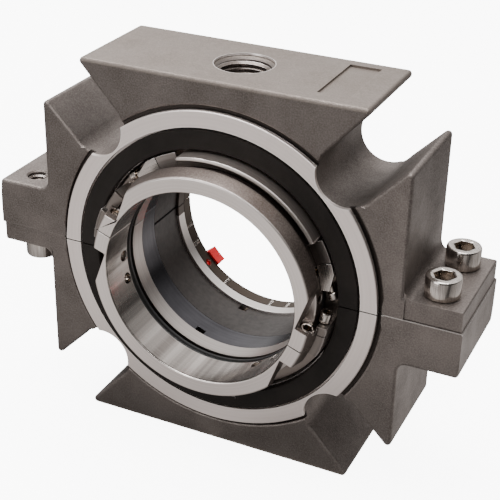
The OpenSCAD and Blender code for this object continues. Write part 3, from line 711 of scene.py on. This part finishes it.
# %% Socket-head cap screws
def screw_body(bm, shank, head, height, length, steps):
    """The turned body of a screw along Z, with its head above zero and a ring left open on top."""
    broken = head * 0.13
    cup = -length + shank * 0.35
    section = [(0.0, cup), (shank * 0.55, cup - shank * 0.1), (shank * 0.72, -length),
               (shank, -length + shank * 0.28), (shank, 0.0), (head - broken * 0.5, 0.0), (head, broken * 0.5),
               (head, height - broken), (head - broken * 0.3, height - broken * 0.3), (head - broken, height),
               (head * 0.68, height)]
    verts = [bm.verts.new((r, 0, z)) for r, z in section]
    edges = [bm.edges.new((verts[i], verts[i + 1])) for i in range(len(verts) - 1)]
    bmesh.ops.spin(bm, geom=verts + edges, cent=(0, 0, 0), axis=(0, 0, 1), angle=2 * math.pi, steps=steps,
                   use_merge=True)


def hexagon_reach(angle, corner):
    """Distance from the centre to the side of a hexagon, at an angle."""
    turn = (angle + math.pi / 6) % (math.pi / 3) - math.pi / 6
    return corner * math.cos(math.pi / 6) / math.cos(math.pi / 6 - abs(turn))


def build_screw(place, shank, head, height, length, steps=48):
    """A whole screw in a mesh of its own, ready to join others."""
    bm = bmesh.new()
    screw_body(bm, shank, head, height, length, steps)
    bmesh.ops.remove_doubles(bm, verts=bm.verts, dist=1e-7)
    rim = [e for e in bm.edges if e.is_boundary]
    for depth in (0.04 * head, 0.60 * height, 0.72 * height):
        made = bmesh.ops.extrude_edge_only(bm, edges=rim)
        for vert in [g for g in made["geom"] if isinstance(g, bmesh.types.BMVert)]:
            angle = math.atan2(vert.co.y, vert.co.x)
            reach = head * 0.04 if depth > 0.7 * height else hexagon_reach(angle, head * 0.63)
            vert.co = (reach * math.cos(angle), reach * math.sin(angle), height - depth)
        rim = [g for g in made["geom"] if isinstance(g, bmesh.types.BMEdge) and g.is_boundary]
    bmesh.ops.contextual_create(bm, geom=rim)
    bmesh.ops.transform(bm, matrix=place, verts=bm.verts)
    return bm


def screw_set(name, node, body, places, shank, head, height, length, steps=48):
    """Several like screws in one piece, which stands for the CAD node of the same screws."""
    joined = bmesh.new()
    for place in places:
        one = build_screw(place, shank, head, height, length, steps)
        mesh = bpy.data.meshes.new("screw")
        one.to_mesh(mesh)
        one.free()
        joined.from_mesh(mesh)
        bpy.data.meshes.remove(mesh)
    return add_piece(name, joined, "screw_steel", body, (node,), 28)


half_turn = Matrix.Rotation(math.pi, 4, "Y")
# On the shaft, local X, Y, Z stand for world X, Z, -Y.
on_shaft = Matrix.Rotation(math.pi / 2, 4, "X")


def local_turn(degrees):
    return Matrix.Rotation(math.radians(degrees), 4, "Z")


along_y = Matrix.Rotation(-math.pi / 2, 4, "X")
outward = Matrix.Rotation(math.pi / 2, 4, "Y")
mirrored = Matrix.Scale(-1, 4, (0, 1, 0))


def spot(x, y, z):
    return Matrix.Translation((x * MM, y * MM, z * MM))


both_halves = (Matrix(), half_turn)
gland_places = [turned @ spot(83.7, y, 7.8) for turned in both_halves for y in (10, 34.7)]
collar_places = [turned @ on_shaft @ local_turn(-19.7) @ spot(41.4, 3.5, 9.5) @ along_y for turned in both_halves]
holder_places = [turned @ on_shaft @ local_turn(-13.1) @ spot(45.4, 4.01, 2.95) @ along_y for turned in both_halves]
lock_places = [on_shaft @ local_turn(119.6) @ spot(45.15, 11.72, -0.75) @ along_y]
lock_places += [on_shaft @ local_turn(degrees) @ mirrored @ spot(45.15, 11.72, -0.75) @ along_y
                for degrees in (19.5, 199.5)]
bore_places = [turned @ on_shaft @ local_turn(degrees - 19.7) @ spot(41.1, 0, 1.95) @ outward
               for turned in both_halves for degrees in (21.4, 35.6, 138.4, 152.2)]
for name, node, body, places, shank, head, height, length, steps in (
        ("gland_cap_screws", "gland_screws", "root", gland_places, 3.95, 6.5, 8, 19, 72),
        ("collar_cap_screws", "collar_screws", "rotor", collar_places, 1.95, 3.0, 4, 10.4, 48),
        ("holder_cap_screws", "holder_screws", "rotor", holder_places, 1.45, 2.25, 4, 11.75, 48),
        ("lock_cap_screws", "lock_screws", "rotor", lock_places, 1.25, 2.0, 2.6, 17.55, 48),
        ("bore_set_screws", "set_screws", "rotor", bore_places, 1.90, 1.95, 1.5, 2.0, 36)):
    piece = screw_set(name, node, body, places, shank * MM, head * MM, height * MM, length * MM, steps)
    print(piece.name, len(places), "screws,", len(piece.data.polygons), "faces")

# %% [markdown]
# The turned rings keep their shapes. Their copies only lose the knife-sharp edges, because a
# broken edge is what catches the light along a real ring.

# %% Rings with broken edges
LIP_FRONT, LIP_INNER = -7.4 * MM, 46.7 * MM
turned_rings = [(ring + half, slot_name, width, body) for ring, slot_name, width, body in (
    ("stationary_face", "stationary_carbon", 0.28, "face_float"), ("thrust_ring", "turned_steel", 0.20, "face_float"),
    ("rotary_face", "rotary_ceramic", 0.20, "rotor"), ("collar", "collar_steel", 0.30, "rotor"),
    ("holder", "turned_steel", 0.18, "rotor")) for half in ("_upper", "_lower")]
turned_rings += [(node, "turned_steel", 0.22, "rotor") for node in ("lock_ring_top", "lock_ring_bottom", "lock_blocks")]


def is_sharp(edge):
    return edge.is_manifold and edge.calc_face_angle(0) > math.radians(40)


def on_crest(edge):
    """True for an edge that runs round the front of the holder's lip."""
    reach = [math.hypot(vert.co.x, vert.co.z) for vert in edge.verts]
    return (all(near(vert.co.y, LIP_FRONT) for vert in edge.verts) and min(reach) > LIP_INNER
            and near(reach[0], reach[1], 0.05 * MM))


for node, slot_name, width, body in turned_rings:
    bm = clean_copy(node)
    if node.startswith("holder"):
        crest = [e for e in bm.edges if is_sharp(e) and on_crest(e)]
        round_edges(bm, crest, 0.68 * MM, 4)
        print("lip crest edges:", len(crest))
    sharp_edges = [e for e in bm.edges if is_sharp(e)]
    round_edges(bm, sharp_edges, width * MM, 2)
    keep_inside(bm, node)
    piece = add_piece(node + "_broken", bm, slot_name, body, (node,), 40)
    if node in special_skins:
        piece.data.materials[0] = special_skins[node]
    weigh_normals(piece)
    print(piece.name, "edges", len(sharp_edges), "faces", len(piece.data.polygons))

# %% [markdown]
# The springs push the stationary face forward. Each is wire wound into a coil, so a round wire
# section is spun about the coil's own axis while it climbs. The first and last turns climb less,
# as the ends of a real spring are closed.

# %% Springs
WIRE, COIL, CIRCLE = 0.34 * MM, 1.70 * MM, 41.05 * MM
START, LENGTH = 53.6 * MM, 5.3 * MM
CLOSED = 0.75 * MM
coils = ((1.0, CLOSED), (2.6, LENGTH - 2 * WIRE - 2 * CLOSED), (1.0, CLOSED))
bm = bmesh.new()
for degrees in [a + t for t in (0, 180) for a in (17, 29, 60, 91, 102)]:
    turn = math.radians(degrees)
    axis_x, axis_z = CIRCLE * math.cos(turn), CIRCLE * math.sin(turn)
    made = bmesh.ops.create_circle(bm, cap_ends=False, segments=8, radius=WIRE,
                                   matrix=Matrix.Translation((axis_x + COIL, START - WIRE, axis_z)))
    ring = made["verts"]
    edges = list({e for v in ring for e in v.link_edges})
    for turns, climb in coils:
        steps = round(22 * turns)
        made = bmesh.ops.spin(bm, geom=ring + edges, cent=(axis_x, 0, axis_z), axis=(0, -1, 0),
                              dvec=(0, -climb / steps, 0), angle=turns * 2 * math.pi, steps=steps,
                              use_duplicate=False)
        ring = [g for g in made["geom_last"] if isinstance(g, bmesh.types.BMVert)]
        edges = [g for g in made["geom_last"] if isinstance(g, bmesh.types.BMEdge)]
springs = add_piece("spring_coils", bm, "screw_steel", "root", ("springs",), 60)
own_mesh(springs)
print("springs:", len(springs.data.polygons), "faces")

# %% [markdown]
# Product photographs of metal are lit by large soft sources, because metal shows what it mirrors.
# A wide softbox overhead makes the top of the casting light, and a small one adds glints. The
# turned front faces mirror the paper in front of the part, so that paper is bright. Dark bearings
# of the paper and a dark side of the room give the screw heads, the lips and the bores the black
# edges that polished steel needs. The camera itself sees the paper white all over.


# %% Lights
def area_light(name, place, target, width, height, power):
    """A rectangular softbox that faces its target."""
    data = bpy.data.lights.new(name, "AREA")
    data.shape = "RECTANGLE"
    data.size, data.size_y, data.energy = width, height, power
    light = bpy.data.objects.new(name, data)
    light.location = place
    light.rotation_euler = (Vector(target) - Vector(place)).to_track_quat("-Z", "Y").to_euler()
    bpy.context.scene.collection.objects.link(light)


area_light("overhead", (-0.25, 0.05, 0.95), (0, 0, 0), 0.9, 0.8, 18)
area_light("front_fill", (-0.5, -1.1, 0.25), (0, 0, 0), 0.6, 0.7, 5)
area_light("edge_light", (0.34, -0.62, 0.79), (0, 0, 0), 0.22, 0.22, 3)
print("lights:", len(bpy.data.lights))

# %% Floor
floor_bm = bmesh.new()
bmesh.ops.create_circle(floor_bm, cap_ends=True, segments=96, radius=3.0)
bmesh.ops.translate(floor_bm, verts=floor_bm.verts, vec=(0, 0, cad_box[0][2]))
floor_mesh = bpy.data.meshes.new("floor")
floor_bm.to_mesh(floor_mesh)
floor_bm.free()
floor = bpy.data.objects.new("floor", floor_mesh)
paper = bpy.data.materials.new("floor_paper")
paper.use_nodes = True
tree = paper.node_tree
shader = tree.nodes["Principled BSDF"]
shader.inputs["Base Color"].default_value = (0.80, 0.80, 0.80, 1)
shader.inputs["Roughness"].default_value = 0.9
shader.inputs["Emission Color"].default_value = (1, 1, 1, 1)
shader.inputs["Emission Strength"].default_value = 8.0
mirror = tree.nodes.new("ShaderNodeEmission")
mirror.inputs["Color"].default_value = (1.0, 0.955, 0.925, 1)
parts = split_point(tree, object_point(tree))
bearing = math_node(tree, "ARCTAN2", parts[1], parts[0])
ramp = tree.nodes.new("ShaderNodeValToRGB")
# Brightness by bearing round the part, from -180 to 180 degrees as 0 to 1.
stops = ((0.00, 0.35), (0.13, 1.0), (0.31, 0.95), (0.38, 0.55), (0.40, 0.10), (0.42, 0.12), (0.45, 0.65),
         (0.55, 0.98), (0.70, 1.0), (0.76, 0.08), (0.90, 0.04), (0.96, 0.18), (1.00, 0.35))
for place, strength in stops[1:-1]:
    ramp.color_ramp.elements.new(place)
for element, (place, strength) in zip(ramp.color_ramp.elements, stops):
    element.position = place
    element.color = (strength, strength, strength, 1)
link(tree, map_range(tree, bearing, -math.pi, math.pi), ramp.inputs[0])
away = flat_distance(tree, parts[0], parts[1])
near_part = map_range(tree, away, 0.04, 0.17, 0.60, 1.05, True)
far_off = map_range(tree, away, 0.20, 0.35, 1.0, 0.52, True)
brightness = times(tree, split_point(tree, ramp.outputs[0])[0], near_part, far_off)
link(tree, brightness, mirror.inputs["Strength"])
mixer = tree.nodes.new("ShaderNodeMixShader")
link(tree, tree.nodes.new("ShaderNodeLightPath").outputs["Is Camera Ray"], mixer.inputs[0])
link(tree, mirror.outputs[0], mixer.inputs[1])
link(tree, shader.outputs[0], mixer.inputs[2])
link(tree, mixer.outputs[0], tree.nodes["Material Output"].inputs["Surface"])
floor.data.materials.append(paper)
bpy.context.scene.collection.objects.link(floor)
print("floor at z =", round(cad_box[0][2], 4))

# %% Room
world = bpy.data.worlds.new("room")
world.use_nodes = True
bpy.context.scene.world = world
tree = world.node_tree
background = tree.nodes["Background"]
background.inputs["Color"].default_value = (1.0, 0.985, 0.97, 1)
parts = split_point(tree, tree.nodes.new("ShaderNodeTexCoord").outputs["Generated"])
side = add(tree, times(tree, parts[0], -0.55), times(tree, parts[2], 0.83))
sky = map_range(tree, side, -0.45, 0.65, 0.10, 1.45, True)
from_behind = map_range(tree, parts[1], -0.75, 0.25, 0.22, 1.0, True)
from_above = map_range(tree, parts[2], 0.0, 0.28, 0.2, 1.0, True)
link(tree, times(tree, sky, from_behind, from_above), background.inputs["Strength"])
print("room ready, its light is a gradient in", world.name)
